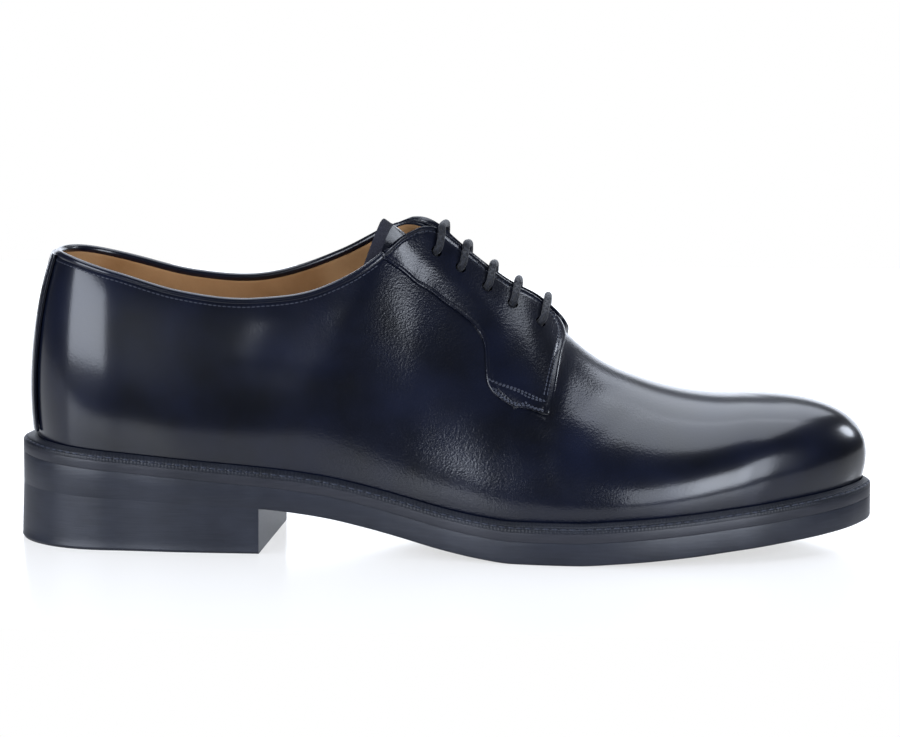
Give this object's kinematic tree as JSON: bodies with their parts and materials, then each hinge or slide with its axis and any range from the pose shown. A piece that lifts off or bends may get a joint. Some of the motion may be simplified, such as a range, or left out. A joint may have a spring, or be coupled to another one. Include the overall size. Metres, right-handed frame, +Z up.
{
  "type": "derby shoe",
  "caption": "Plain-toe derby shoe for the right foot: hollow leather upper with eyestay facings, tongue and laces, on a welted sole with a block heel.",
  "frame": {"origin": "centre of the object's box, on the floor plane", "axes": "+X towards the toe, +Y towards the inner (medial) side, +Z up"},
  "size_m": [0.302, 0.1042, 0.1159],
  "materials": {
    "navy_calf_leather": "semi-gloss",
    "welt_leather": "satin",
    "midsole_leather": "satin",
    "sole_rubber": "matt",
    "tan_lining_leather": "matt",
    "waxed_cotton_cord": "matt"
  },
  "bodies": {
    "root": {"outsole": "sole_rubber", "heel": "sole_rubber", "midsole": "midsole_leather", "welt": "welt_leather", "insole": "tan_lining_leather", "upper": "navy_calf_leather", "tongue": "navy_calf_leather", "back_strip": "navy_calf_leather", "facing_lateral": "navy_calf_leather", "facing_medial": "navy_calf_leather", "lace_bar_1": "waxed_cotton_cord", "lace_bar_2": "waxed_cotton_cord", "lace_bar_3": "waxed_cotton_cord", "lace_bar_4": "waxed_cotton_cord", "lace_bar_5": "waxed_cotton_cord"}
  },
  "joints": []
}
